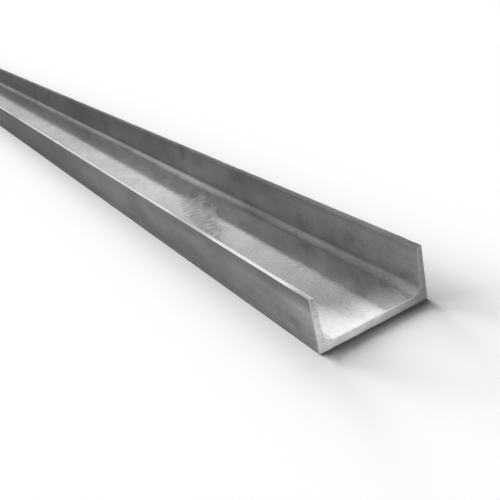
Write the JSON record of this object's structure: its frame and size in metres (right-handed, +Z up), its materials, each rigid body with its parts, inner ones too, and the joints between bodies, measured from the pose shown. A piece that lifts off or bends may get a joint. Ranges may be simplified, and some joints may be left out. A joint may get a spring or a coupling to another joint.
{
  "type": "steel channel beam",
  "caption": "Rolled steel channel beam lying on its web, both flanges up with lightly sloped inner faces, filleted roots and rounded toes, sawn square at the ends.",
  "frame": {"origin": "middle of the back of the web, on the floor the channel lies on, halfway along its length", "axes": "+X along the bar, +Y across the web from one flange to the other, +Z up out of the trough"},
  "size_m": [3, 0.1, 0.046],
  "materials": {
    "rolled_steel": "hot-rolled, thin grey mill scale with a dull sheen, bare metal on the sawn ends"
  },
  "bodies": {
    "root": {"steel_channel": "rolled_steel"}
  },
  "joints": []
}
